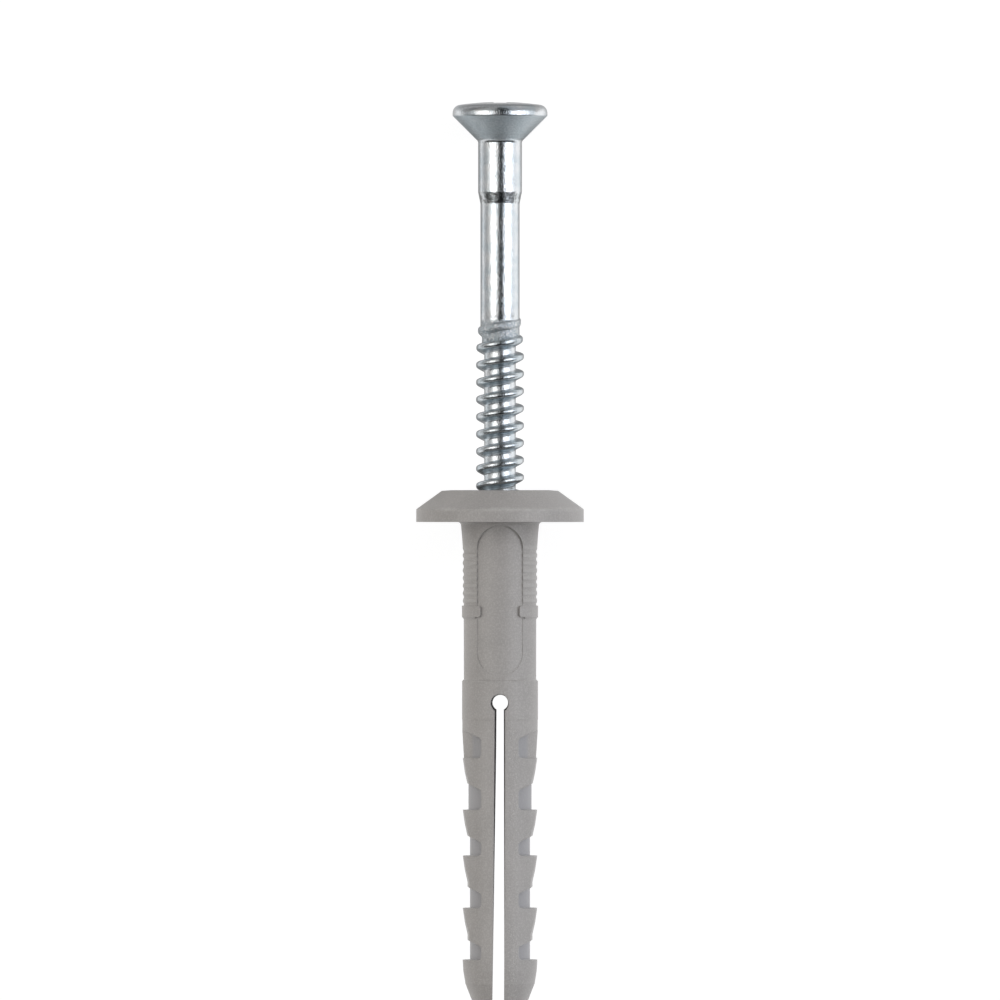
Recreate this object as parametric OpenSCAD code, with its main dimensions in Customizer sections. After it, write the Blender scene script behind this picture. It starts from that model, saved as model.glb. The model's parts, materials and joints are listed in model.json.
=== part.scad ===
// Hammer fixing for a 6 mm hole: a flanged plastic plug with a threaded nail set part-way into it.
// Both pieces are drawn upright about one axis, with z = 0 under the flange and the head at the top.
// The finished fixing lies on two rims, the flange's and the nail head's, with its front facing up.
// All sizes are in millimetres and all angles in degrees.

/* [Plug flange] */
// Length of the whole plug, from the flange's top to the tip
plug_length = 40; // [37:0.5:50]
// Diameter of the flange's rim
flange_d = 13.1; // [11:0.1:15]
// Height of the upright rim
flange_rim_h = 1.0; // [0.6:0.05:1.3]
// Diameter where the bevel meets the domed top
flange_top_d = 9.1; // [8.8:0.05:10]
// Height of the bevel's upper edge
flange_bevel_h = 2.44; // [2.2:0.02:2.5]
// Height of the flange at the top of its dome
flange_h = 2.6; // [2.55:0.05:3]
// Width of the flat that the mould's gate leaves at the back of the rim
gate_w = 2.2; // [1.6:0.1:2.8]

/* [Plug neck] */
// Diameter of the neck under the flange's fillet
neck_top_d = 6.1; // [5.95:0.05:6.3]
// Diameter of the plain neck
neck_d = 5.68; // [5.5:0.02:5.8]
// Draft of the moulding, on each side, for each millimetre of length
draft = 0.002; // [0.001:0.0005:0.004]
// Length of the taper under the flange
neck_taper = 1.9; // [1.2:0.1:2.4]
// Radius of the fillet under the flange
neck_fillet = 0.28; // [0.1:0.02:0.4]
// Number of fine ribs round the neck
rib_count = 8; // [4:1:8]
// Distance from one fine rib to the next
rib_pitch = 0.59; // [0.4:0.01:0.6]
// Height of the fine ribs
rib_h = 0.07; // [0.03:0.01:0.09]
// Width of the oval panel
panel_w = 3.6; // [3:0.1:4]
// Depth of the oval panel
panel_depth = 0.05; // [0.04:0.01:0.15]
// Distance from the flange to the lugs
lug_from_flange = 6.54; // [6.5:0.02:6.8]
// Height of the lugs
lug_h = 0.88; // [0.7:0.02:1.1]
// Diameter over the lugs
lug_d = 5.98; // [5.9:0.02:6.1]

/* [Plug collar and slot] */
// Diameter of the plain collar, which fits the drilled hole
collar_d = 5.94; // [5.86:0.02:6]
// Distance from the tip to the collar's upper step
collar_from_tip = 24.97; // [24.5:0.1:26]
// Length of the collar's plain stretch
collar_plain = 3.0; // [2.6:0.1:3.4]
// Distance from the tip to the middle of the keyhole
keyhole_from_tip = 23.25; // [22.8:0.05:23.6]
// Diameter of the keyhole at the front
keyhole_d = 1.43; // [1.1:0.01:1.6]
// Width of the slot at the keyhole
slot_top_w = 0.8; // [0.5:0.02:0.9]
// Width of the slot at the tip
slot_tip_w = 0.92; // [0.6:0.02:1.2]
// Sideways lean of the slot, from the keyhole to the tip
slot_lean = 0.14; // [0:0.02:0.2]
// Narrowing of the keyhole and the slot's upper end from front to back, on each side
slot_draft = 0.12; // [0:0.01:0.12]

/* [Plug teeth] */
// Width over the teeth
tooth_d = 5.8; // [5.7:0.02:5.9]
// Width of the legs above the first tooth
shoulder_d = 5.62; // [5.5:0.02:5.7]
// Diameter of the legs at the last tooth
tooth_last_d = 5.86; // [5.8:0.02:5.9]
// Width where a tooth has run out
tooth_end_d = 5.06; // [4.9:0.02:5.3]
// Length over which a tooth runs out
tooth_run = 2.05; // [1.6:0.05:2.3]
// Slope of the teeth's sides, from the middle to the front and back
side_slope = 5; // [2:0.5:8]
// Width of the rib left between the pockets, front and back
rib_w = 2.88; // [2.7:0.02:3.2]
// Thickness of the rounded web left in the pockets
web_t = 4.3; // [4.25:0.05:4.6]
// Slope of the pockets' upper edges
pocket_slope = 25; // [15:1:35]
// Radius of the pockets' inner corners
pocket_corner = 0.33; // [0.1:0.01:0.36]
// Diameter of the tip's end
tip_d = 4.4; // [3.8:0.05:4.8]
// Height of the tip's bevel
tip_bevel = 1.3; // [0.8:0.05:1.6]

/* [Plug bore] */
// Gap round the nail's thread
bore_gap = 0.045; // [0.03:0.005:0.08]
// Gap round the nail's head in the flange
head_gap = 0.08; // [0.05:0.01:0.15]

/* [Nail] */
// Length of the nail
nail_length = 45; // [44:0.1:45.4]
// Length by which the nail is driven in
nail_out = 29.8; // [29.4:0.1:30.6]
// Height by which the driven head stands proud of the flange
head_proud = 0.44; // [0.3:0.02:0.5]
// Diameter of the head
head_d = 7.42; // [7:0.02:7.6]
// Height of the head above its cone
head_rim = 1.08; // [1:0.02:1.16]
// Rounding of the head's upper edge
head_round = 0.64; // [0.4:0.02:0.66]
// Slope of the head's crowned top at its edge
crown_slope = 8; // [4:1:10]
// Diameter of the shank under the head
shank_d = 3.42; // [3.2:0.02:3.5]
// Diameter of the thinner shank above the thread
shank_low_d = 3.06; // [2.9:0.02:3.16]
// Length of the thicker shank, measured from the top of the head
shank_step = 7.04; // [5.5:0.02:9]
// Length of the step between the two shanks
shank_taper = 0.9; // [0.4:0.1:1.5]

/* [Thread] */
// Distance from one turn to the next
pitch = 1.35; // [1.2:0.05:1.6]
// Diameter over the thread
thread_d = 3.75; // [3.5:0.01:3.8]
// Diameter of the core between the turns
root_d = 2.46; // [2.2:0.02:2.7]
// Distance from the top of the head to the first crest
thread_from_top = 17.24; // [15.5:0.02:18.5]
// Length of the pointed end
point_length = 2.7; // [2:0.1:3.2]
// Width of the blunt end of the point
point_d = 0.4; // [0.3:0.05:0.8]

/* [Cross recess] */
// Length of the cross from tip to tip
cross_length = 4.1; // [3.4:0.05:4.4]
// Width of the cross's arms
cross_w = 1.02; // [0.8:0.02:1.1]
// Depth of the recess
cross_depth = 2.2; // [1.6:0.05:2.4]
// Width of the small notches between the arms
notch_w = 0.42; // [0.3:0.02:0.5]
// Width of the four marking lines
mark_w = 0.14; // [0.1:0.01:0.2]
// Depth of the four marking lines
mark_depth = 0.17; // [0.15:0.01:0.22]

/* [Hidden] */
$fn = 64;

// Heights along the axis
tip_z = flange_h - plug_length;
collar_z = tip_z + collar_from_tip;
keyhole_z = tip_z + keyhole_from_tip;
taper_z = collar_z - collar_plain;
head_z = flange_h + nail_out + head_proud;
nail_tip_z = head_z - nail_length;

// Radii of the bore and the height at which the head's cone meets the shank
bore_r = thread_d / 2 + bore_gap;
well_r = head_d / 2 + head_gap;
cone_z = head_z - head_rim - (head_d - shank_d) / 2;

// Edge of the head's crown, and the middle of the rounding below it
crown_r = head_d / 2 - head_round * (1 - sin(crown_slope));
crown_drop = crown_r * tan(crown_slope) / 2;
round_z = head_z - crown_drop - head_round * cos(crown_slope);

// Teeth, counted from the flange: distance of each ledge from the tip, and the pocket above it
ledges = [18.95, 14.9, 11.32, 7.23, 3.18];
gaps = [1.52, 1.55, 1.05, 1.15, 1.05];
webs = [5.9, 4.93, 4.69, 4.69, 4.69];
last = len(ledges) - 1;
last_z = tip_z + ledges[last];

// Angle and lift with which the fixing lies on the flange's flat and the head's rim
gate_y = sqrt(pow(flange_d / 2, 2) - pow(gate_w / 2, 2));
rest_a = gate_y - head_d / 2 + head_round;
rest_b = round_z - flange_rim_h;
rest_angle = acos(head_round / norm([rest_a, rest_b])) - atan2(rest_b, rest_a);
rest_lift = gate_y * cos(rest_angle) + flange_rim_h * sin(rest_angle);
rest_far = head_z * cos(rest_angle)
    + crown_r * min(1, tan(rest_angle) / tan(crown_slope)) * sin(rest_angle) / 2;
rest_near = tip_z * cos(rest_angle) - tip_d / 2 * sin(rest_angle);

function arc(c, r, from, to, n = 6) =
    [for (k = [0 : n]) c + r * [cos(from + (to - from) * k / n), sin(from + (to - from) * k / n)]];

module lie_down() {
    translate([0, -(rest_far + rest_near) / 2, rest_lift])
        rotate([-90 - rest_angle, 0, 0])
            children();
}

// A flat outline, drawn as seen from the front, carried right through from front to back
module from_front(depth = 8) {
    rotate([90, 0, 0])
        linear_extrude(height = depth, center = true)
            children();
}

module both_sides() {
    children();
    mirror([1, 0, 0])
        children();
}

// The plug's outer form, turned about the axis
function flange_profile() = concat(
    [[0, flange_h]],
    [for (k = [2 : 4])
        [flange_top_d / 2 * k / 4, flange_h - (flange_h - flange_bevel_h) * pow(k / 4, 2)]],
    [[flange_d / 2, flange_rim_h], [flange_d / 2, 0]]
);

function neck_point(z, proud = 0) = [neck_d / 2 + draft * (z - collar_z / 2) + proud, z];

function neck_profile() = concat(
    arc([neck_top_d / 2 + neck_fillet, -neck_fillet], neck_fillet, 90, 180, 5),
    [neck_point(-neck_taper, rib_h)],
    [for (k = [0 : rib_count - 2], p = [[0.33, 1], [0.58, 0], [0.83, 0], [1.08, 1]])
        neck_point(-neck_taper - rib_pitch * (k + p[0]), rib_h * p[1])],
    [neck_point(-neck_taper - rib_pitch * (rib_count - 0.67), rib_h)],
    [neck_point(-neck_taper - rib_pitch * (rib_count - 0.42)), neck_point(collar_z + 0.12)]
);

function leg_point(z) = [tooth_last_d / 2 + draft / 2 * (z - last_z), z];

function leg_profile() = concat(
    [[collar_d / 2, collar_z], [collar_d / 2, taper_z], leg_point(taper_z - 0.05), leg_point(last_z)],
    [[tooth_last_d / 2 - 0.06, last_z - 0.9], [tooth_last_d / 2 - 0.22, tip_z + tip_bevel]],
    [[tip_d / 2, tip_z], [0, tip_z]]
);

// The edge of one tooth as seen from the front, from its ledge to the next one
function tooth_edge(i) =
    let (z = tip_z + ledges[i], x = tooth_d / 2, end = tooth_end_d / 2)
    [[x, z], [x - 0.16, z - tooth_run * 0.55], [end, z - tooth_run], [end, tip_z + ledges[i + 1]]];

// What the teeth leave of the legs' round sides; the sides slope a little to the front and back
module side_cuts() {
    outline = concat(
        [[4, taper_z], [collar_d / 2 + 0.02, taper_z], [shoulder_d / 2, tip_z + ledges[0]]],
        [for (i = [0 : last - 1], p = tooth_edge(i)) p],
        [[4, last_z]]
    );
    for (a = [-side_slope, side_slope])
        rotate([0, 0, a])
            both_sides()
                from_front()
                    polygon(outline);
}

// A pocket above one ledge, with rounded inner corners and a sloping upper edge
module pocket_outline(i) {
    z = tip_z + ledges[i];
    x = rib_w / 2;
    top = z + gaps[i];
    r = pocket_corner;
    b = pocket_slope;
    polygon(concat(
        [[4, z]],
        arc([x + r, z + r], r, 270, 180),
        arc([x + r, top - r * (1 / cos(b) - tan(b))], r, 180, 90 + b),
        [[4, top + (4 - x) * tan(b)]]
    ));
}

// The web between front and back pockets, with rounded faces that meet at its outer edges
module web(x) {
    y = web_t / 2;
    r = (x * x + y * y) / (2 * y);
    intersection_for (s = [-1, 1])
        translate([0, s * (r - y), tip_z])
            cylinder(r = r, h = plug_length);
}

module pocket(i) {
    difference() {
        both_sides()
            from_front()
                pocket_outline(i);
        web(webs[i] / 2);
    }
}

// The oval panels on the front and the back, sunk into the round of the neck in two small steps
module panels() {
    top = -0.26 - panel_w / 2;
    low = collar_z + 0.4 + panel_w / 2;
    for (k = [1, 2])
        difference() {
            from_front() {
                w = panel_w - 0.1 * (k - 1);
                translate([0, top])
                    circle(d = w);
                translate([0, low])
                    circle(d = w);
                translate([-w / 2, low])
                    square([w, top - low]);
            }
            translate([0, 0, collar_z - 1])
                cylinder(d = neck_d - panel_depth * k, h = -collar_z + 2);
        }
}

// The two lugs, which stop short of the panels with rounded ends
module lugs() {
    top = -lug_from_flange;
    low = top - lug_h;
    x = rib_w / 2 + 0.09;
    r = 0.2;
    intersection() {
        rotate_extrude()
            polygon([[2.4, top], [lug_d / 2, top], [lug_d / 2 - 0.01, low], [neck_d / 2 - 0.05, low - 0.24],
                     [2.4, low - 0.24]]);
        both_sides()
            from_front()
                polygon(concat(
                    [[4, low - 0.3], [x + 0.4, low - 0.3], [x + 0.4, low]],
                    arc([x + r, low + r], r, 270, 180),
                    arc([x + r, top + 0.01 - r], r, 180, 90),
                    [[4, top + 0.01]]
                ));
    }
}

// The keyhole and the slot that parts the legs, which narrow a little to the back at the top
module slot() {
    reach = 4;
    front = tooth_d / 2;
    low = tip_z - 0.5;
    lean = slot_lean * (1 + 0.5 / keyhole_from_tip);
    over = slot_draft * (reach - front) / tooth_d;
    a = slot_top_w / 2 + over;
    c = slot_top_w / 2 - slot_draft - over;
    b = slot_tip_w / 2;
    translate([0, 0, keyhole_z])
        rotate([90, 0, -0.5])
            cylinder(d1 = keyhole_d - 2 * slot_draft - over, d2 = keyhole_d + over, h = 2 * reach,
                     center = true);
    polyhedron(
        points = [
            [-a - 0.02, -reach, keyhole_z], [a - 0.02, -reach, keyhole_z],
            [c + 0.02, reach, keyhole_z], [-c + 0.02, reach, keyhole_z],
            [-b - lean, -reach, low], [b - lean, -reach, low],
            [b - lean, reach, low], [-b - lean, reach, low]
        ],
        faces = [[3, 2, 1, 0], [4, 5, 6, 7], [0, 1, 5, 4], [1, 2, 6, 5], [2, 3, 7, 6], [3, 0, 4, 7]]
    );
}

// The way through the plug: a well for the head and a straight bore for the thread
module bore() {
    well_z = flange_h + head_proud - head_rim + head_gap * 0.4;
    rotate_extrude()
        polygon([
            [0, flange_h + 1], [well_r, flange_h + 1], [well_r, well_z],
            [bore_r, well_z - (well_r - bore_r)], [bore_r, tip_z - 1], [0, tip_z - 1]
        ]);
}

// The flat at the back of the rim, which runs on over the bevel
module gate() {
    top = flange_h + 1;
    slope = (flange_d - flange_top_d) / 2 / (flange_bevel_h - flange_rim_h);
    rotate([90, 0, 90])
        linear_extrude(height = 2 * gate_w, center = true)
            polygon([
                [gate_y, -1], [gate_y, flange_rim_h], [gate_y - slope * (top - flange_rim_h), top],
                [flange_d, top], [flange_d, -1]
            ]);
}

module plug() {
    color("#979693")
        difference() {
            union() {
                difference() {
                    rotate_extrude()
                        polygon(concat(flange_profile(), neck_profile(), leg_profile()));
                    panels();
                    side_cuts();
                    for (i = [0 : last])
                        pocket(i);
                }
                lugs();
            }
            slot();
            bore();
            gate();
        }
}

// Head and shank of the nail, turned about the axis
function nail_profile() =
    let (f = 0.35, e = 0.08, r = shank_d / 2, h = head_d / 2, low = head_z - thread_from_top + 0.5)
    concat(
        [[0, low], [shank_low_d / 2, low], [shank_low_d / 2, head_z - shank_step - shank_taper],
         [r, head_z - shank_step]],
        arc([r + f, cone_z - f * (sqrt(2) - 1)], f, 180, 135, 4),
        arc([h - e, head_z - head_rim + e * (sqrt(2) - 1)], e, -45, 0, 3),
        arc([h - head_round, round_z], head_round, 0, 90 - crown_slope),
        [for (k = [7 : -1 : 0]) [crown_r * k / 8, head_z - crown_drop * pow(k / 8, 2)]]
    );

// The recess for the driver, with its four marking lines
module cross_recess() {
    module arm(l, w, depth) {
        translate([0, 0, head_z])
            from_front(w)
                polygon([[-l / 2 - 0.15, 0.2], [l / 2 + 0.15, 0.2], [l / 2, 0], [l / 2 - depth * 0.58, -depth],
                         [-l / 2 + depth * 0.58, -depth], [-l / 2, 0]]);
    }
    for (a = [0, 90]) {
        rotate([0, 0, a])
            arm(cross_length, cross_w, cross_depth);
        rotate([0, 0, a + 45])
            arm(cross_length * 0.52, notch_w, cross_depth * 0.62);
    }
    translate([0, 0, head_z - cross_depth - 0.3])
        cylinder(d1 = 0.5, d2 = cross_w * 1.3, h = cross_depth);
    for (a = [45 : 90 : 315])
        rotate([0, 0, a])
            translate([1.3, -mark_w / 2, head_z - mark_depth])
                cube([1.0, mark_w, 1]);
}

// The thread: each turn is a ridge with a steep upper flank and a long lower one, wound right-handed
turn_steps = 30;
turn_z = [0, 0.12, 0.27, 0.42, 0.67];
turn_r = [0, 0.88, 1, 0.9, 0];
turn_points = len(turn_z);
thread_z = head_z - thread_from_top + 0.3 * pitch;
turns = floor((thread_z - nail_tip_z - 0.75 * pitch) / pitch);
column = turns * turn_points + 2;
blank_r = shank_low_d / 2 - 0.02;

function ease(x) = let (c = min(1, max(0, x))) c * c * (3 - 2 * c);
function swell(u) = pow(min(1, max(0, u) / 2), 0.6);
function narrow(z) =
    min(1, point_d / root_d + (1 - point_d / root_d) * (z - nail_tip_z) / point_length);
function thread_r(u, j) = turn_r[j] == 0
    ? blank_r + (root_d / 2 - blank_r) * ease((u - (j == 0 ? 1 : 0) - 0.45) / 0.8)
    : blank_r + (root_d / 2 + (thread_d - root_d) / 2 * turn_r[j] - blank_r) * swell(u);
function thread_point(i, z, r) =
    [r * narrow(z) * cos(108 - 360 * i / turn_steps), r * narrow(z) * sin(108 - 360 * i / turn_steps), z];

module thread() {
    c = column;
    s = turn_points;
    n = turn_steps;
    e = (n - 1) * c;
    points = [
        for (i = [0 : n - 1], m = [0 : c - 1])
            let (k = floor((m - 1) / s), j = (m - 1) % s, u = i / n + k)
            m == 0 ? thread_point(i, thread_z + 0.9 * pitch, blank_r)
            : m == c - 1 ? thread_point(i, nail_tip_z, root_d / 2)
            : thread_point(i, thread_z + (0.3 - u - turn_z[j]) * pitch, thread_r(u, j))
    ];
    // Columns run down the nail; the last one meets the first one turn further on
    sides = [
        for (i = [0 : n - 2], m = [0 : c - 2], t = [0, 1])
            t == 0
                ? [(i + 1) * c + m, i * c + m, i * c + m + 1]
                : [(i + 1) * c + m, i * c + m + 1, (i + 1) * c + m + 1]
    ];
    seam = [
        for (m = [1 : c - s - 3], t = [0, 1])
            t == 0 ? [m + s, e + m, e + m + 1] : [m + s, e + m + 1, m + s + 1]
    ];
    upper = concat([for (q = [0 : s]) [q, e, q + 1]], [[s + 1, e, e + 1]]);
    lower = concat(
        [[c - 2, e + c - s - 2, c - 1]],
        [for (q = [c - s - 2 : c - 2]) [c - 1, e + q, e + q + 1]]
    );
    ends = [[for (i = [0 : n - 1]) i * c], [for (i = [n - 1 : -1 : 0]) i * c + c - 1]];
    polyhedron(points = points, faces = concat(sides, seam, upper, lower, ends));
}

module nail_screw() {
    color("#b9c2c9")
        difference() {
            union() {
                rotate_extrude()
                    polygon(nail_profile());
                thread();
            }
            cross_recess();
        }
}

lie_down()
        plug();
lie_down()
        nail_screw();
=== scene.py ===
import json
import math

import bpy
import numpy as np
from mathutils import Matrix, Vector


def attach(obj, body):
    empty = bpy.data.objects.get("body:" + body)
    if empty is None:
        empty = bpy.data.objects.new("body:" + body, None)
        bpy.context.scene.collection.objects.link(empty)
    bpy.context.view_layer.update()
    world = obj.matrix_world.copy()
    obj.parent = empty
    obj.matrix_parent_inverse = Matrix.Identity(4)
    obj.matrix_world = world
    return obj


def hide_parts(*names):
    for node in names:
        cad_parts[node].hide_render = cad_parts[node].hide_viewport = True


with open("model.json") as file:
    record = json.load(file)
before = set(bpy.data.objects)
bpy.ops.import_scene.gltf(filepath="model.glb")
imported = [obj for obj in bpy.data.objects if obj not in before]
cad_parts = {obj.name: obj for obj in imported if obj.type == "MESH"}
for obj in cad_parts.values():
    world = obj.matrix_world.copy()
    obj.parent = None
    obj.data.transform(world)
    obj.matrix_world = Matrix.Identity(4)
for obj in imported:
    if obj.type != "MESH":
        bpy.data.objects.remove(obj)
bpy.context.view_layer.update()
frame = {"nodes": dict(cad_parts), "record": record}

bl_info = {
    "name": "Hammer Fixing",
    "version": (1, 0, 0),
    "blender": (4, 5, 0),
    "location": "View3D > Sidebar > Fixing",
    "description": "Finishes a moulded plug and its threaded nail and sets them in a plain studio",
    "category": "Object",
}

MM = 0.001

# The fixing's own frame: z runs along its axis towards the head, from the flange's underside
MOUNTS = {mount["name"]: mount for mount in frame["record"]["mounts"]}
AXIS = Vector(MOUNTS["driver_recess"]["axis"]).normalized()
HEAD_TOP = Vector(MOUNTS["driver_recess"]["pos_m"])
SEAT = Vector(MOUNTS["flange_face"]["pos_m"])
SEAT.x = 0.0
ACROSS = Vector((1.0, 0.0, 0.0))
TURN = Matrix((ACROSS, AXIS.cross(ACROSS), AXIS)).transposed()
OWN_TO_FRAME = Matrix.Translation(SEAT) @ TURN.to_4x4() @ Matrix.Scale(MM, 4)
HEAD_Z = (HEAD_TOP - SEAT).dot(AXIS) / MM

# Where the plastic's finish, its painted highlights and its painted shade change, in millimetres of
# that frame. A pair is the start and the end of a change; four numbers are a band that rises over
# the first two and falls over the last two
FLANGE_EDGE_R, FLANGE_EDGE_Z = (6.3, 6.42), (0.75, 0.95)
RIB_R, RIB_Z = (2.86, 2.9, 2.94, 2.96), (-6.6, -6.4, -2.0, -1.7)
POCKET_R, POCKET_X, POCKET_LOW_Z = (2.56, 2.44), (1.38, 1.46), (-35.9, -35.7)
SCUFF_X, SCUFF_Y, SCUFF_Z = (0.45, 0.7, 1.3, 1.55), (-1.6, -2.0), (-15.4, -16.2)
PANEL_X, PANEL_LOW_Z = (1.9, 1.8), (-9.6, -9.5)
LEGS_Z, TEETH_Z = (-10.5, -12.5), (-12.5, -13.5)

# The same for the zinc, as distances from the axis and depths below the head's top
CONE_R, CONE_DEPTH = (1.76, 1.95), (1.0, 1.15, 4.0, 4.5)
RECESS_R, RECESS_DEPTH = (2.3, 2.1), (0.05, 0.9, 2.4, 2.7)
STEP_DEPTH = (7.0, 7.15, 7.85, 8.0)
START_DEPTH = (16.9, 17.3, 18.3, 18.9)
RIDGE_R, RIDGE_DEPTH, CREST_R = (1.3, 1.5), (17.4, 17.9), (1.865, 1.78)
VALLEY_R, VALLEY_DEPTH = (1.4, 1.3), (18.3, 18.9)

# Widths of the edges that shading rounds: on the plug's neck, on its legs and on the nail
NECK_EDGE, LEG_EDGE, NAIL_EDGE = 0.05 * MM, 0.16 * MM, 0.05 * MM

# Radii of the fillet under the nail's cone and of the lower edge of its head's rim, in millimetres
CONE_FILLET, RIM_EDGE = 0.35, 0.13
# Where the arc of a 45 degree corner starts, as a share of its radius
CORNER = math.sqrt(2) - 1

# One turn of the thread: share of the pitch below the turn's start, and share of the thread's depth
THREAD_TURN = (
    (0.0, 0.0), (0.02, 0.1), (0.05, 0.45), (0.08, 0.74), (0.12, 0.9), (0.18, 0.98), (0.26, 1.0),
    (0.34, 0.985), (0.4, 0.93), (0.45, 0.82), (0.51, 0.6), (0.57, 0.34), (0.62, 0.13), (0.67, 0.02),
    (0.73, 0.0), (0.86, 0.0),
)
CREST = 6
# The thread's ends, in turns: the plain shank's end and the thread's start above the first crest,
# and the room left at the point
SHANK_END, THREAD_LEAD, POINT_ROOM = 1.2, 0.3, 0.75
# The run-out, in turns: the valley sinks from one number over the next, the crest swells over SWELL
VALLEY_FROM, VALLEY_OVER, SWELL, SWELL_POWER, CREST_SHARE = 0.45, 0.8, 2.0, 0.6, 1.6
THREAD_ANGLE = math.radians(108)
SHARP_ANGLE = math.radians(38)

# The recess: slope of the arms' ends, and the cutters' height and flare above the head
ARM_SLOPE, ARM_ABOVE, ARM_FLARE = 0.58, 0.25, 0.15
# A hair's difference keeps the arms' floors and tops out of one plane
HAIR = 0.013
# The notches' reach and depth as shares of the cross's, and the four marking lines
NOTCH_REACH, NOTCH_DEPTH = 0.52, 0.62
MARK_FROM, MARK_TO, MARK_DEPTH, MARK_ABOVE, MARK_W = 1.3, 2.3, 0.17, 0.2, 0.14

# The studio, in metres
FLOOR_HALF, FLOOR_Z = 6.0, -0.00002
LIGHT_DISTANCE, LIGHT_Y, LIGHT_LENGTH, LIGHT_AIM_Z = 0.6, 0.09, 0.33, 0.005
SENSOR_MM, CLIP = 36.0, (0.01, 30.0)
WHITE = (1.0, 1.0, 1.0, 1.0)
WARM, COOL = (1.0, 0.985, 0.96, 1.0), (0.93, 0.96, 1.0, 1.0)


def length(name, description, millimetres):
    """A size property in metres."""
    return bpy.props.FloatProperty(
        name=name, description=description, default=millimetres * MM,
        min=0.0, precision=5, unit="LENGTH",
    )


def colour(name, description, default):
    """A linear colour property."""
    return bpy.props.FloatVectorProperty(
        name=name, description=description, default=(*default, 1.0),
        size=4, min=0.0, max=1.0, subtype="COLOR",
    )


def share(name, description, default):
    """A plain number property."""
    return bpy.props.FloatProperty(name=name, description=description, default=default, min=0.0)


class FixingNail(bpy.types.PropertyGroup):
    """Sizes of the threaded nail."""

    nail_length: length("Length", "Length of the nail from the head's top to the point", 45.0)
    head_d: length("Head", "Diameter of the countersunk head", 7.42)
    head_rim: length("Rim", "Height of the head above its cone", 1.08)
    head_round: length("Rim Rounding", "Radius of the head's upper edge", 0.64)
    crown_slope: bpy.props.FloatProperty(
        name="Crown Slope", description="Slope of the head's crowned top at its edge",
        default=math.radians(8), subtype="ANGLE",
    )
    shank_d: length("Shank", "Diameter of the shank under the head", 3.42)
    shank_low_d: length("Lower Shank", "Diameter of the shank above the thread", 3.06)
    shank_step: length("Step", "Distance from the head's top to the step in the shank", 7.04)
    shank_taper: length("Step Length", "Length of the step in the shank", 0.9)
    pitch: length("Pitch", "Distance from one turn of the thread to the next", 1.35)
    thread_d: length("Thread", "Diameter over the thread", 3.75)
    root_d: length("Core", "Diameter of the core between the turns", 2.46)
    thread_from_top: length("Thread Start", "Distance from head top to first crest", 17.24)
    point_length: length("Point", "Length of the pointed end", 2.7)
    point_d: length("Point End", "Width of the point's blunt end", 0.4)
    cross_length: length("Cross", "Length of the cross recess from tip to tip", 4.1)
    cross_w: length("Cross Arms", "Width of the cross's arms", 1.02)
    cross_depth: length("Cross Depth", "Depth of the recess", 2.2)
    notch_w: length("Notches", "Width of the notches between the arms", 0.42)
    steps: bpy.props.IntProperty(name="Steps", description="Faces in one turn", default=96, min=24)


class FixingFinish(bpy.types.PropertyGroup):
    """Colours of the plastic and the steel, and of their painted highlights and painted shade."""

    plastic: colour("Plastic", "Colour of the moulded plastic", (0.39, 0.369, 0.354))
    # Pale Plastic is also the colour of the painted highlights on the edges, the flange's rim and
    # the fine ribs
    plastic_pale: colour("Pale Plastic", "Colour of scuffed plastic", (0.58, 0.565, 0.54))
    # The pockets' colour is painted shade
    plastic_pocket_shade: colour("Cool Plastic", "Colour of plastic in the pockets", (0.365, 0.366, 0.39))
    steel: colour("Zinc", "Colour of the zinc plate", (0.83, 0.85, 0.87))
    steel_tint: colour("Zinc Tint", "Colour of bluish patches in the zinc", (0.7, 0.76, 0.8))
    # Satin Zinc is painted shade: the dark reflections of the cone and the thread
    steel_reflection_shade: colour("Satin Zinc", "Colour of the satin cone and thread", (0.42, 0.485, 0.52))
    # Dull Zinc is painted shade in the recess and on the shank's step
    steel_painted_shade: colour("Dull Zinc", "Colour of zinc in the recess and hollows", (0.3, 0.31, 0.3))


class FixingStage(bpy.types.PropertyGroup):
    """Floor, light and camera."""

    distance: length("Camera Distance", "Distance of the camera from the fixing's axis", 1500.0)
    height: length("Camera Height", "Height of the camera above the flange, along the axis", 1.72)
    view: length("View", "Width of the picture at the fixing's axis", 78.19)
    right_light: share("Right Light", "Radiance of the soft light on the right", 1.45)
    left_light: share("Left Light", "Radiance of the soft light on the left", 1.35)
    room: share("Room", "Radiance of the pale room around the fixing", 0.82)
    floor_white: share("Floor White", "Plain white that the floor shows before any light", 0.9)


def add(tree, kind, inputs=None, **settings):
    """Adds a node; an input is given a value or linked to another node's output."""
    node = tree.nodes.new(kind)
    for key, value in settings.items():
        setattr(node, key, value)
    for key, value in (inputs or {}).items():
        if isinstance(value, bpy.types.NodeSocket):
            tree.links.new(value, node.inputs[key])
        else:
            node.inputs[key].default_value = value
    return node


def maths(tree, operation, *values):
    """A Math node's output."""
    return add(tree, "ShaderNodeMath", dict(enumerate(values)), operation=operation).outputs[0]


def product(tree, first, *others):
    """The product of two or more values."""
    for other in others:
        first = maths(tree, "MULTIPLY", first, other)
    return first


def largest(tree, first, *others):
    """The largest of two or more values."""
    for other in others:
        first = maths(tree, "MAXIMUM", first, other)
    return first


def split(tree, vector):
    """The three parts of a vector."""
    return add(tree, "ShaderNodeSeparateXYZ", {0: vector}).outputs


def from_axis(tree, x, y):
    """Distance from the fixing's axis."""
    return maths(tree, "SQRT", maths(tree, "ADD", product(tree, x, x), product(tree, y, y)))


def blend(tree, factor, first, second):
    """A colour mixed from two others."""
    inputs = {0: factor, 6: first, 7: second}
    return add(tree, "ShaderNodeMix", inputs, data_type="RGBA").outputs[2]


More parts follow.
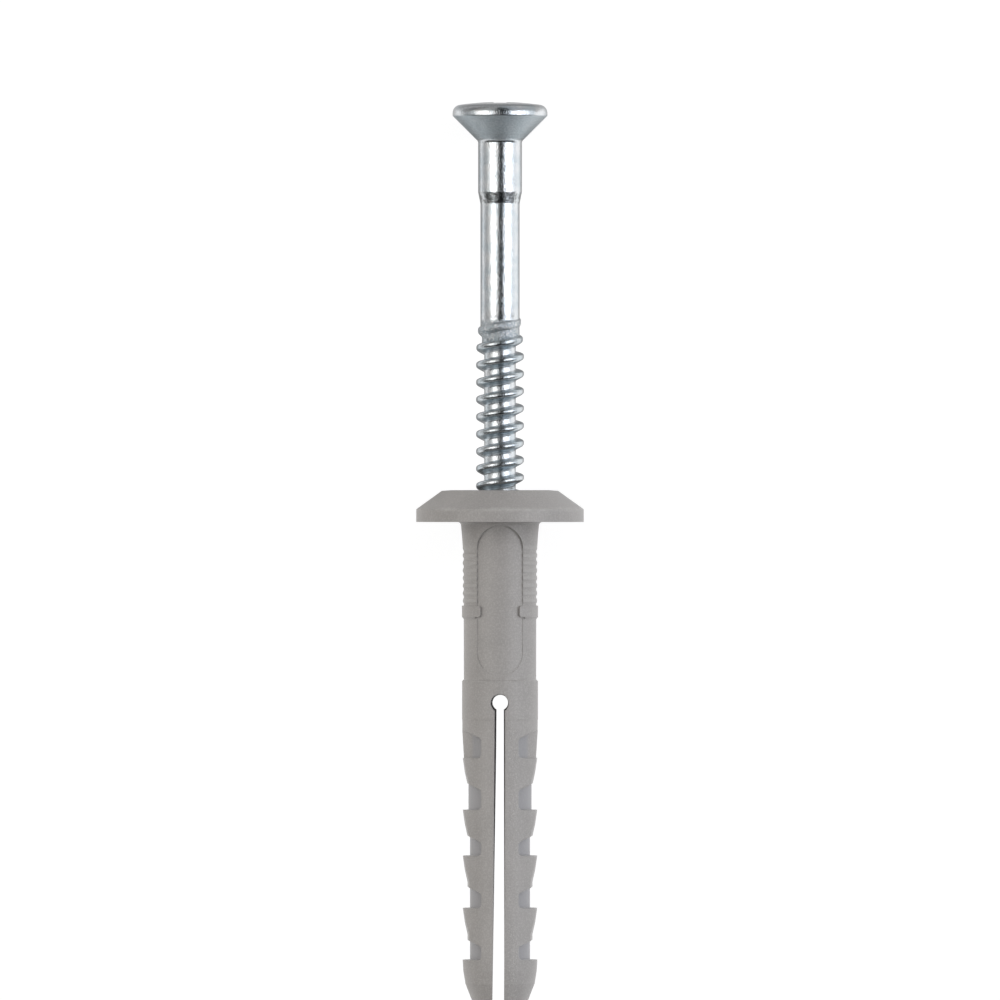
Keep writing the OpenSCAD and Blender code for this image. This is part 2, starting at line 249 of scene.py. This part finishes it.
def fade(tree, value, start, end, low=0.0, high=1.0):
    """A smooth step from low at start to high at end."""
    inputs = {"Value": value, "From Min": start, "From Max": end, "To Min": low, "To Max": high}
    return add(tree, "ShaderNodeMapRange", inputs, interpolation_type="SMOOTHSTEP").outputs[0]


def band(tree, value, rise_start, rise_end, fall_start, fall_end):
    """One between the rise and the fall, and zero outside them."""
    rise = fade(tree, value, rise_start, rise_end)
    return product(tree, rise, fade(tree, value, fall_end, fall_start))


def noise(tree, coordinate, scale, detail=2.0, roughness=0.5):
    """Value of a noise texture."""
    inputs = {"Vector": coordinate, "Scale": scale, "Detail": detail, "Roughness": roughness}
    return add(tree, "ShaderNodeTexNoise", inputs).outputs[0]


def new_group(name, inputs, outputs):
    """An empty shader node group with its input and output nodes."""
    tree = bpy.data.node_groups.new(name, "ShaderNodeTree")
    for in_out, sockets in (("INPUT", inputs), ("OUTPUT", outputs)):
        for label, kind in sockets:
            tree.interface.new_socket(label, in_out=in_out, socket_type="NodeSocket" + kind)
    given = tree.nodes.new("NodeGroupInput").outputs
    return tree, given, tree.nodes.new("NodeGroupOutput").inputs


def grain_group():
    """Fine grain and slow mottling of a surface."""
    tree, given, out = new_group(
        "Grain",
        (("Coordinate", "Vector"), ("Fine Scale", "Float"), ("Slow Scale", "Float")),
        (("Fine", "Float"), ("Slow", "Float")),
    )
    tree.links.new(noise(tree, given["Coordinate"], given["Fine Scale"], 3.0, 0.6), out["Fine"])
    tree.links.new(noise(tree, given["Coordinate"], given["Slow Scale"], 2.0), out["Slow"])
    return tree


def edge_group():
    """Softly rounded normals, a mask of the edges they round, and a broken mask of the same."""
    tree, given, out = new_group(
        "Edges",
        (("Coordinate", "Vector"), ("Radius", "Float"), ("Break Scale", "Float")),
        (("Edge", "Float"), ("Mask", "Float"), ("Normal", "Vector")),
    )
    rounded = add(tree, "ShaderNodeBevel", {"Radius": given["Radius"]}, samples=6).outputs[0]
    plain = add(tree, "ShaderNodeNewGeometry").outputs["Normal"]
    facing = add(tree, "ShaderNodeVectorMath", {0: rounded, 1: plain}, operation="DOT_PRODUCT")
    edge = fade(tree, facing.outputs["Value"], 0.995, 0.85)
    broken = fade(tree, noise(tree, given["Coordinate"], given["Break Scale"], 3.0), 0.35, 0.62)
    tree.links.new(edge, out["Edge"])
    tree.links.new(product(tree, edge, broken), out["Mask"])
    tree.links.new(rounded, out["Normal"])
    return tree


def shared_groups():
    """The two node groups that both materials use, each made once."""
    groups = bpy.data.node_groups
    return groups.get("Grain") or grain_group(), groups.get("Edges") or edge_group()


def group(tree, source, **inputs):
    """Outputs of a shader node group placed in a material."""
    named = {key.replace("_", " ").title(): value for key, value in inputs.items()}
    return add(tree, "ShaderNodeGroup", named, node_tree=source).outputs


def empty_tree(owner):
    """The cleared node tree of a material or a world."""
    owner.use_nodes = True
    owner.node_tree.nodes.clear()
    return owner.node_tree


def new_material(name):
    """A material with a Principled shader, and the fixing's own coordinates in millimetres."""
    material = bpy.data.materials.new(name)
    tree = empty_tree(material)
    shader = add(tree, "ShaderNodeBsdfPrincipled")
    add(tree, "ShaderNodeOutputMaterial", {"Surface": shader.outputs[0]})
    place = {
        "Vector": add(tree, "ShaderNodeTexCoord").outputs["Object"],
        "Location": SEAT, "Rotation": TURN.to_euler(), "Scale": (MM, MM, MM),
    }
    own = add(tree, "ShaderNodeMapping", place, vector_type="TEXTURE").outputs[0]
    return material, tree, shader, own


def dress(tree, shader, base, rough, relief):
    """Links a colour, a roughness and a bump to the shader."""
    bump = add(tree, "ShaderNodeBump", relief).outputs[0]
    for name, value in (("Base Color", base), ("Roughness", rough), ("Normal", bump)):
        tree.links.new(value, shader.inputs[name])


def plastic_material(finish):
    """Matte moulded plastic with a fine grain and one scuffed rib, painted highlights on its edges,
    flange rim and ribs, and painted shade in its pockets.
    """
    material, tree, shader, own = new_material("moulded_grey_plastic")
    grain, edges = shared_groups()
    pale = finish.plastic_pale
    x, y, z = split(tree, own)
    off_axis = from_axis(tree, x, y)
    off_middle = maths(tree, "ABSOLUTE", x)
    grains = group(tree, grain, coordinate=own, fine_scale=8.0, slow_scale=0.4)
    radius = fade(tree, z, *LEGS_Z, NECK_EDGE, LEG_EDGE)
    rounded_edges = group(tree, edges, coordinate=own, radius=radius, break_scale=1.6)
    dark = [channel * 0.965 for channel in finish.plastic[:3]] + [1.0]
    light = [channel * 1.035 for channel in finish.plastic[:3]] + [1.0]
    base = blend(tree, fade(tree, grains["Slow"], 0.3, 0.7), dark, light)
    base = blend(tree, fade(tree, grains["Fine"], 0.4, 0.7, 0.0, 0.42), base, pale)
    # Painted highlight: the flange's upper edge is painted pale in places, where its rounding would
    # catch the light, and the fine ribs are painted pale as lit ridges
    patches = fade(tree, noise(tree, own, 0.55, 5.0, 0.75), 0.4, 0.68)
    flange_edge_highlight = product(
        tree, fade(tree, off_axis, *FLANGE_EDGE_R), fade(tree, z, *FLANGE_EDGE_Z), patches, 0.55
    )
    rib_highlight = product(tree, band(tree, off_axis, *RIB_R), band(tree, z, *RIB_Z), 0.22)
    base = blend(tree, largest(tree, flange_edge_highlight, rib_highlight), base, pale)
    # Painted shade: the pockets between the teeth are painted darker and cooler in tone, as shade
    # in the hollows
    pocket_shade = product(
        tree, fade(tree, off_axis, *POCKET_R), fade(tree, z, *POCKET_LOW_Z),
        fade(tree, off_middle, *POCKET_X), 0.6,
    )
    base = blend(tree, pocket_shade, base, finish.plastic_pocket_shade)
    # The rib to the right of the slot was scuffed when the plug left its mould
    flecks = fade(tree, noise(tree, own, 7.5, 4.0, 0.7), 0.52, 0.64)
    scuff = product(
        tree, band(tree, x, *SCUFF_X), fade(tree, z, *SCUFF_Z), fade(tree, y, *SCUFF_Y), flecks
    )
    base = blend(tree, product(tree, scuff, 0.6), base, pale)
    # Painted highlight: the panel's outline and the teeth's edges are painted pale all along, as
    # lit edges; other edges are pale in broken patches, partly wear and partly painted highlight
    panel = product(tree, fade(tree, off_middle, *PANEL_X), fade(tree, z, *PANEL_LOW_Z))
    # soft holds the panel's outline and the teeth, where the painted highlight runs unbroken
    soft = largest(tree, panel, fade(tree, z, *TEETH_Z, 0.0, 0.7))
    edge_wear_and_highlight = largest(tree, rounded_edges["Mask"], product(tree, rounded_edges["Edge"], soft))
    base = blend(tree, product(tree, edge_wear_and_highlight, 0.85), base, pale)
    rough = fade(tree, grains["Fine"], 0.25, 0.75, 0.36, 0.5)
    height = maths(tree, "ADD", product(tree, grains["Fine"], 0.6), product(tree, scuff, 1.2))
    dress(tree, shader, base, rough, {
        "Height": height, "Strength": 0.35, "Distance": 0.02 * MM, "Normal": rounded_edges["Normal"],
    })
    shader.inputs["Specular IOR Level"].default_value = 0.5
    return material


def steel_material(finish):
    """Bright zinc plate with drawing lines along the shank, and painted shade on the cone, the
    thread, the recess and the shank's step.
    """
    material, tree, shader, own = new_material("bright_zinc_plate")
    grain, edges = shared_groups()
    x, y, z = split(tree, own)
    off_axis = from_axis(tree, x, y)
    below_top = maths(tree, "SUBTRACT", HEAD_Z, z)
    grains = group(tree, grain, coordinate=own, fine_scale=9.0, slow_scale=0.9)
    rounded_edges = group(tree, edges, coordinate=own, radius=NAIL_EDGE, break_scale=2.5)
    drawn = add(tree, "ShaderNodeCombineXYZ", {0: x, 1: y, 2: product(tree, z, 0.3)}).outputs[0]
    lines = noise(tree, drawn, 8.0, 4.0, 0.65)
    # Masks of the cone, the recess, the thread's ridge, valley and start, and the shank's step
    cone = product(tree, fade(tree, off_axis, *CONE_R), band(tree, below_top, *CONE_DEPTH))
    recess = product(tree, fade(tree, off_axis, *RECESS_R), band(tree, below_top, *RECESS_DEPTH))
    ridge = product(
        tree, fade(tree, off_axis, *RIDGE_R), fade(tree, below_top, *RIDGE_DEPTH),
        fade(tree, off_axis, *CREST_R, 0.45, 1.0),
    )
    valley = product(tree, fade(tree, off_axis, *VALLEY_R), fade(tree, below_top, *VALLEY_DEPTH))
    start = band(tree, below_top, *START_DEPTH)
    patches = fade(tree, noise(tree, own, 2.6, 4.0, 0.7), 0.42, 0.6)
    step = product(tree, band(tree, below_top, *STEP_DEPTH), patches)
    base = blend(tree, fade(tree, grains["Slow"], 0.35, 0.7), finish.steel, finish.steel_tint)
    streaks = product(tree, fade(tree, lines, 0.5, 0.75), 0.25)
    base = blend(tree, streaks, base, finish.steel_tint)
    # Painted shade: the cone, the thread's ridges and its first turns are painted darker and
    # bluish, as dark reflections, and the thread starts with a rough, frosty band
    shaded = largest(
        tree, product(tree, cone, 0.8), product(tree, ridge, 0.75), product(tree, start, 0.6)
    )
    shaded = product(tree, shaded, fade(tree, grains["Fine"], 0.38, 0.62, 1.15, 0.7))
    base = blend(tree, shaded, base, finish.steel_reflection_shade)
    frost = product(tree, start, fade(tree, noise(tree, own, 6.0, 3.0, 0.7), 0.5, 0.6))
    base = blend(tree, frost, base, finish.steel)
    # Painted shade: the recess is painted dark as a hollow, and the step in the shank is painted
    # dark in places as a dark reflection
    recess_and_step_shade = largest(tree, product(tree, recess, 0.8), product(tree, step, 0.75))
    base = blend(tree, recess_and_step_shade, base, finish.steel_painted_shade)
    coarse = largest(
        tree, product(tree, cone, 0.22), product(tree, start, 0.15),
        product(tree, largest(tree, ridge, valley), 0.14),
    )
    rough = maths(tree, "ADD", fade(tree, lines, 0.3, 0.75, 0.06, 0.12), coarse)
    rugged = largest(tree, start, product(tree, cone, 0.35))
    grit = product(tree, grains["Fine"], fade(tree, rugged, 0.0, 1.0, 1.0, 5.0))
    pits = noise(tree, own, 4.0, 3.0, 0.65)
    pits = product(tree, pits, fade(tree, rugged, 0.0, 1.0, 1.6, 7.0))
    height = maths(tree, "ADD", maths(tree, "ADD", lines, grit), pits)
    dress(tree, shader, base, rough, {
        "Height": height, "Strength": 0.7, "Distance": 0.018 * MM, "Normal": rounded_edges["Normal"],
    })
    shader.inputs["Metallic"].default_value = 1.0
    return material


def arc(centre, radius, start, end, count):
    """Points of an arc in the plane of radius and height, angles in degrees."""
    angles = np.radians(np.linspace(start, end, count))
    return [(centre[0] + radius * math.cos(a), centre[1] + radius * math.sin(a)) for a in angles]


def crisp(points, reach=0.05):
    """The inner points, each with a neighbour close on both sides, so smooth shading keeps it."""
    rows = []
    for before, point, after in zip(points, points[1:], points[2:]):
        here = np.array(point)
        for other in (before, after):
            away = np.array(other) - here
            rows.append(tuple(here + away / np.linalg.norm(away) * reach))
        rows.insert(-1, point)
    return rows


def nail_rings(size):
    """Radius and height of the plain rings, from the head's crowned top down to the thread."""
    head, shank, low = size["head_d"] / 2, size["shank_d"] / 2, size["shank_low_d"] / 2
    rounding, slope = size["head_round"], size["crown_slope"]
    rim_low = HEAD_Z - size["head_rim"]
    cone_end = rim_low - (head - shank)
    step = HEAD_Z - size["shank_step"]
    step_end = step - size["shank_taper"]
    thread_top = HEAD_Z - size["thread_from_top"] + SHANK_END * size["pitch"]
    crown = head - rounding * (1 - math.sin(slope))
    drop = crown * math.tan(slope) / 2
    rings = [(crown * t, HEAD_Z - drop * t * t) for t in np.linspace(0.1, 1.0, 10)[:-1]]
    centre = (head - rounding, HEAD_Z - drop - rounding * math.cos(slope))
    rings += arc(centre, rounding, 90 - math.degrees(slope), 0, 9)
    rings += arc((head - RIM_EDGE, rim_low + RIM_EDGE * CORNER), RIM_EDGE, 0, -45, 4)
    centre = (shank + CONE_FILLET, cone_end - CONE_FILLET * CORNER)
    fillet = arc(centre, CONE_FILLET, 135, 180, 7)
    cone = np.array(rings[-1]), np.array(fillet[0])
    rings += [tuple(cone[0] * (1 - t) + cone[1] * t) for t in (0.25, 0.5, 0.75)]
    rings += fillet
    rings += [(shank, z) for z in np.linspace(fillet[-1][1], step, 6)[1:-1]]
    rings += crisp([(shank, step + 1.0), (shank, step), (low, step_end), (low, step_end - 1.0)])
    rings += [(low, z) for z in np.linspace(step_end, thread_top, 12)[1:]]
    return np.array(rings)


def ease(value):
    """A smooth step from 0 to 1."""
    value = np.clip(value, 0.0, 1.0)
    return value * value * (3.0 - 2.0 * value)


def thread_grid(size, steps, start, tip):
    """Radius and height of the thread's points, a row for each column that runs down it."""
    turns = int((start - tip - POINT_ROOM * size["pitch"]) // size["pitch"])
    below, depth = np.array(THREAD_TURN).T
    blank, root, crest = size["shank_low_d"] / 2, size["root_d"] / 2, size["thread_d"] / 2
    u = (np.arange(steps)[:, None] / steps + np.arange(turns))[:, :, None]
    z = start + (THREAD_LEAD - u - below) * size["pitch"]
    rising = np.arange(len(depth)) < CREST
    valley = ease((u - rising - VALLEY_FROM) / VALLEY_OVER)
    swell = np.clip(u / SWELL, 0.0, 1.0) ** SWELL_POWER
    weight = valley + (swell - valley) * ease(depth * CREST_SHARE)
    r = blank + (root + (crest - root) * depth - blank) * weight
    blunt = size["point_d"] / size["root_d"]
    r = r * np.minimum(1.0, blunt + (1 - blunt) * (z - tip) / size["point_length"])
    return r.reshape(steps, -1), z.reshape(steps, -1)


def nail_faces(steps, count, plain):
    """Faces between columns of count points, the first plain of them on closed rings."""
    per_turn = len(THREAD_TURN)
    last = (steps - 1) * count

    def strip(left, right, rows, shift=0):
        return [
            (left + m, right + m + shift, right + m + shift + 1, left + m + 1) for m in rows
        ]

    faces = []
    for i in range(steps - 1):
        faces += strip(i * count, (i + 1) * count, range(count - 1))
    # The last column meets the first: level on the plain rings, and one turn on in the thread
    faces += strip(last, 0, range(plain - 1))
    faces += strip(last, 0, range(plain, count - 2 - per_turn), per_turn)
    # Fans close the gaps where the thread starts and ends, and two faces close the ends
    top, end = plain - 1, count - 2
    faces += [(last + top, top + q, top + q + 1) for q in range(per_turn + 1)]
    faces += [(last + top, top + per_turn + 1, last + top + 1)]
    faces += [(last + end - per_turn, end, end + 1)]
    faces += [(end + 1, last + q + 1, last + q) for q in range(end - per_turn, end + 1)]
    faces += [tuple(i * count for i in reversed(range(steps)))]
    faces += [tuple(i * count + count - 1 for i in range(steps))]
    return faces


def nail_surface(size, steps):
    """Points and faces of the nail, built from columns that run from its head to its point."""
    rings = nail_rings(size)
    start = HEAD_Z - size["thread_from_top"] + THREAD_LEAD * size["pitch"]
    tip = HEAD_Z - size["nail_length"]
    thread_r, thread_z = thread_grid(size, steps, start, tip)
    ring_r, ring_z = (np.tile(column, (steps, 1)) for column in rings.T)
    end_r, end_z = np.full((steps, 1), size["point_d"] / 2), np.full((steps, 1), tip)
    r = np.concatenate([ring_r, thread_r, end_r], axis=1)
    z = np.concatenate([ring_z, thread_z, end_z], axis=1)
    angle = THREAD_ANGLE - 2 * math.pi * np.arange(steps)[:, None] / steps
    points = np.stack([r * np.cos(angle), r * np.sin(angle), z], axis=2).reshape(-1, 3)
    return points, nail_faces(steps, r.shape[1], len(rings))


def placed(name, data):
    """A new object in the scene."""
    made = bpy.data.objects.new(name, data)
    bpy.context.scene.collection.objects.link(made)
    return made


def new_object(name, points, faces, matrix=Matrix()):
    """A mesh object from points in the fixing's own millimetres."""
    mesh = bpy.data.meshes.new(name)
    mesh.from_pydata([tuple(p) for p in points], [], [tuple(f) for f in faces])
    mesh.transform(OWN_TO_FRAME @ matrix)
    return placed(name, mesh)


def prism(outline, width):
    """Points and faces of an outline in x and z, carried width along y."""
    n = len(outline)
    points = [(x, side * width / 2, z) for side in (-1, 1) for x, z in outline]
    faces = [tuple(range(n)), tuple(reversed(range(n, 2 * n)))]
    faces += [(i, i + n, (i + 1) % n + n, (i + 1) % n) for i in range(n)]
    return points, faces


def recess_cutters(size):
    """Solids that cut the cross recess, its notches and the four marking lines into the head."""
    cutters = []

    def cutter(outline, width, turn):
        spin = Matrix.Rotation(math.radians(turn), 4, "Z")
        place = Matrix.Translation((0, 0, HEAD_Z)) @ spin
        cutters.append(new_object("cutter", *prism(outline, width), place))

    def arm(reach, width, depth, turn):
        apart = HAIR * len(cutters)
        low, top = -depth - apart, ARM_ABOVE + apart
        half, end = reach / 2, reach / 2 - ARM_SLOPE * depth
        wide = half + ARM_FLARE
        outline = [(-wide, top), (-half, 0), (-end, low), (end, low), (half, 0), (wide, top)]
        cutter(outline, width, turn)

    reach, depth = size["cross_length"], size["cross_depth"]
    for turn in (0, 90):
        arm(reach, size["cross_w"], depth, turn)
        arm(reach * NOTCH_REACH, size["notch_w"], depth * NOTCH_DEPTH, turn + 45)
    for turn in (45, 135, 225, 315):
        outline = [
            (MARK_FROM, MARK_ABOVE), (MARK_FROM, -MARK_DEPTH),
            (MARK_TO, -MARK_DEPTH), (MARK_TO, MARK_ABOVE),
        ]
        cutter(outline, MARK_W, turn)
    return cutters


def cut(piece, cutters):
    """Cuts all the solids out of the piece at once and removes them."""
    tools = bpy.data.collections.new("cutters")
    for cutter in cutters:
        tools.objects.link(cutter)
    modifier = piece.modifiers.new("cut", "BOOLEAN")
    modifier.operation, modifier.solver = "DIFFERENCE", "EXACT"
    modifier.operand_type, modifier.collection = "COLLECTION", tools
    graph = bpy.context.evaluated_depsgraph_get()
    mesh = bpy.data.meshes.new_from_object(piece.evaluated_get(graph), depsgraph=graph)
    piece.modifiers.clear()
    old, piece.data = piece.data, mesh
    bpy.data.meshes.remove(old)
    bpy.data.collections.remove(tools)
    for cutter in cutters:
        bpy.data.meshes.remove(cutter.data)


class FIXING_OT_finish_plug(bpy.types.Operator):
    """Give the moulded plug its plastic"""

    bl_idname = "fixing.finish_plug"
    bl_label = "Finish Plug"

    def execute(self, context):
        material = plastic_material(context.scene.fixing_finish)
        plug = frame["nodes"]["plug"]
        for slot in plug.material_slots:
            slot.material = material
        return {"FINISHED"}


class FIXING_OT_make_nail(bpy.types.Operator):
    """Make the threaded nail with its head, stepped shank and recess, in zinc plate"""

    bl_idname = "fixing.make_nail"
    bl_label = "Make Nail"

    def execute(self, context):
        props = context.scene.fixing_nail
        lengths = [key for key in FixingNail.__annotations__ if key not in ("steps", "crown_slope")]
        size = {key: getattr(props, key) / MM for key in lengths}
        size["crown_slope"] = props.crown_slope
        nail = new_object("threaded_nail", *nail_surface(size, props.steps))
        cut(nail, recess_cutters(size))
        if not nail.data.polygons:
            raise RuntimeError("the recess cut left no nail")
        nail.data.shade_smooth()
        nail.data.set_sharp_from_angle(angle=SHARP_ANGLE)
        nail.data.materials.clear()
        nail.data.materials.append(steel_material(context.scene.fixing_finish))
        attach(nail, "nail_body")
        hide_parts("nail_screw")
        return {"FINISHED"}


def soft_light(name, turn, width, radiance, tint):
    """A rectangular soft light, turned from overhead; a mirror would show its radiance."""
    lamp = bpy.data.lights.new(name, "AREA")
    lamp.shape, lamp.size, lamp.size_y = "RECTANGLE", width, LIGHT_LENGTH
    lamp.energy = radiance * math.pi * width * LIGHT_LENGTH
    lamp.color = tint
    light = placed(name, lamp)
    light.location = (LIGHT_DISTANCE * math.sin(turn), LIGHT_Y, LIGHT_DISTANCE * math.cos(turn))
    back = (light.location - Vector((0.0, LIGHT_Y, LIGHT_AIM_Z))).normalized()
    side = Vector((0, 1, 0)).cross(back).normalized()
    light.rotation_mode = "QUATERNION"
    facing = Matrix((side, back.cross(side), back)).transposed()
    light.rotation_quaternion = facing.to_quaternion()


def floor_material(white):
    """A white floor that takes the shadow; the camera sees most of it as plain white."""
    material = bpy.data.materials.new("studio_floor")
    tree = empty_tree(material)
    path = add(tree, "ShaderNodeLightPath").outputs
    x, y, _ = split(tree, add(tree, "ShaderNodeTexCoord").outputs["Object"])
    # Painted shade that only mirrors see: dim under the nail as its shadow, and dim on its left,
    # beyond its head and far past the plug's tip as dark reflections
    mirror_painted_shade = largest(
        tree, fade(tree, x, -0.004, -0.012, 0.1, 1.0), fade(tree, x, 0.003, 0.01, 0.3, 1.0)
    )
    mirror_painted_shade = product(tree, mirror_painted_shade, fade(tree, x, -0.009, -0.025, 1.0, 0.4))
    head_y = HEAD_TOP.y
    mirror_painted_shade = largest(
        tree, mirror_painted_shade, fade(tree, y, 0.006, 0.0),
        fade(tree, y, head_y - 0.0045, head_y - 0.003, 0.0, 0.5),
    )
    mirror_painted_shade = product(
        tree, mirror_painted_shade, fade(tree, y, head_y + 0.0005, head_y + 0.004, 1.0, 0.42),
        fade(tree, y, -0.06, -0.15, 1.0, 0.35),
    )
    glossy = path["Is Glossy Ray"]
    plain = largest(tree, path["Is Camera Ray"], path["Is Transmission Ray"])
    # The floor's own tone is pale to light that bounces, and darker to the camera and to mirrors
    tone = maths(tree, "SUBTRACT", 0.85, product(tree, plain, 0.65))
    tone = maths(tree, "SUBTRACT", tone, product(tree, glossy, 0.8))
    shown = maths(tree, "ADD", product(tree, plain, white), product(tree, glossy, mirror_painted_shade))
    matte = add(tree, "ShaderNodeBsdfDiffuse", {"Color": tone}).outputs[0]
    bright = add(tree, "ShaderNodeEmission", {"Color": WHITE, "Strength": shown}).outputs[0]
    surface = add(tree, "ShaderNodeAddShader", {0: matte, 1: bright}).outputs[0]
    add(tree, "ShaderNodeOutputMaterial", {"Surface": surface})
    return material


def studio_world(level):
    """A pale room; mirrors see it dim where the camera hangs, on the left and at the ends."""
    world = bpy.data.worlds.new("studio_room")
    tree = empty_tree(world)
    x, y, z = split(tree, add(tree, "ShaderNodeTexCoord").outputs["Generated"])
    aside = maths(tree, "ARCTAN2", x, z)

    def turned(start, end, low, high):
        return fade(tree, aside, math.radians(start), math.radians(end), low, high)

    overhead = largest(tree, turned(-7, -17, 0.04, 1.0), turned(20, 27, 0.04, 1.0))
    left = turned(-42, -95, 1.0, 0.28)
    tip = fade(tree, y, -0.06, -0.25, 1.0, 0.12)
    head_end = fade(tree, y, 0.2, 0.55, 1.0, 0.38)
    mirrored = product(tree, overhead, left, tip, head_end)
    mirrored = maths(tree, "ADD", mirrored, fade(tree, y, -0.7, -0.95, 0.0, 0.3))
    # The plastic sees it brighter on both sides and dim at both ends
    sides = largest(tree, turned(-20, -80, 1.0, 1.6), turned(30, 85, 1.0, 2.3))
    tip = fade(tree, y, -0.06, -0.5, 1.0, 0.12)
    head_end = fade(tree, y, 0.35, 0.85, level, 0.2 * level)
    plain = product(tree, sides, tip, head_end)
    glossy = add(tree, "ShaderNodeLightPath").outputs["Is Glossy Ray"]
    room = add(tree, "ShaderNodeMix", {0: glossy, 2: plain, 3: mirrored}).outputs[0]
    tint = blend(tree, fade(tree, aside, -0.6, 0.6), WARM, COOL)
    back = add(tree, "ShaderNodeBackground", {"Color": tint, "Strength": room}).outputs[0]
    add(tree, "ShaderNodeOutputWorld", {"Surface": back})
    return world


def studio_camera(stage):
    """A camera that looks straight at the fixing's front, across its axis."""
    lens = bpy.data.cameras.new("camera")
    lens.sensor_width = SENSOR_MM
    lens.lens = lens.sensor_width * stage.distance / stage.view
    lens.clip_start, lens.clip_end = CLIP
    camera = placed("camera", lens)
    towards = AXIS.cross(ACROSS)
    turn = Matrix((ACROSS, AXIS, -towards)).transposed().to_4x4()
    place = SEAT + AXIS * stage.height - towards * stage.distance
    camera.matrix_world = Matrix.Translation(place) @ turn
    return camera


class FIXING_OT_set_stage(bpy.types.Operator):
    """Set up the floor, the soft lights, the room and the camera"""

    bl_idname = "fixing.set_stage"
    bl_label = "Set Stage"

    def execute(self, context):
        stage = context.scene.fixing_stage
        corners = [
            (x * FLOOR_HALF, y * FLOOR_HALF, FLOOR_Z)
            for x, y in ((-1, -1), (1, -1), (1, 1), (-1, 1))
        ]
        mesh = bpy.data.meshes.new("floor")
        mesh.from_pydata(corners, [], [(0, 1, 2, 3)])
        mesh.materials.append(floor_material(stage.floor_white))
        floor = placed("floor", mesh)
        for name, turn, width, radiance, tint in (
            ("right_soft_light", 47, 0.39, stage.right_light, (0.93, 0.935, 1.0)),
            ("left_soft_light", -38, 0.24, stage.left_light, (1.0, 0.98, 0.95)),
        ):
            soft_light(name, math.radians(turn), width, radiance, tint)
        context.scene.world = studio_world(stage.room)
        context.scene.camera = studio_camera(stage)
        context.scene.view_settings.view_transform = "Standard"
        return {"FINISHED"}


class FIXING_PT_panel(bpy.types.Panel):
    """Sizes, colours and steps of the fixing"""

    bl_idname = "FIXING_PT_panel"
    bl_label = "Hammer Fixing"
    bl_space_type = "VIEW_3D"
    bl_region_type = "UI"
    bl_category = "Fixing"

    def draw(self, context):
        for operator, group_name in STEPS:
            box = self.layout.box()
            settings = getattr(context.scene, group_name)
            for key in settings.__annotations__:
                box.prop(settings, key)
            box.operator(operator)


STEPS = (
    ("fixing.finish_plug", "fixing_finish"),
    ("fixing.make_nail", "fixing_nail"),
    ("fixing.set_stage", "fixing_stage"),
)
GROUPS = {"fixing_nail": FixingNail, "fixing_finish": FixingFinish, "fixing_stage": FixingStage}
CLASSES = (
    FixingNail, FixingFinish, FixingStage,
    FIXING_OT_finish_plug, FIXING_OT_make_nail, FIXING_OT_set_stage, FIXING_PT_panel,
)


def register():
    for cls in CLASSES:
        bpy.utils.register_class(cls)
    for name, kind in GROUPS.items():
        setattr(bpy.types.Scene, name, bpy.props.PointerProperty(type=kind))


def unregister():
    for name in GROUPS:
        delattr(bpy.types.Scene, name)
    for cls in reversed(CLASSES):
        bpy.utils.unregister_class(cls)


def main():
    register()
    bpy.ops.fixing.finish_plug()
    bpy.ops.fixing.make_nail()
    bpy.ops.fixing.set_stage()


if __name__ == "__main__":
    main()
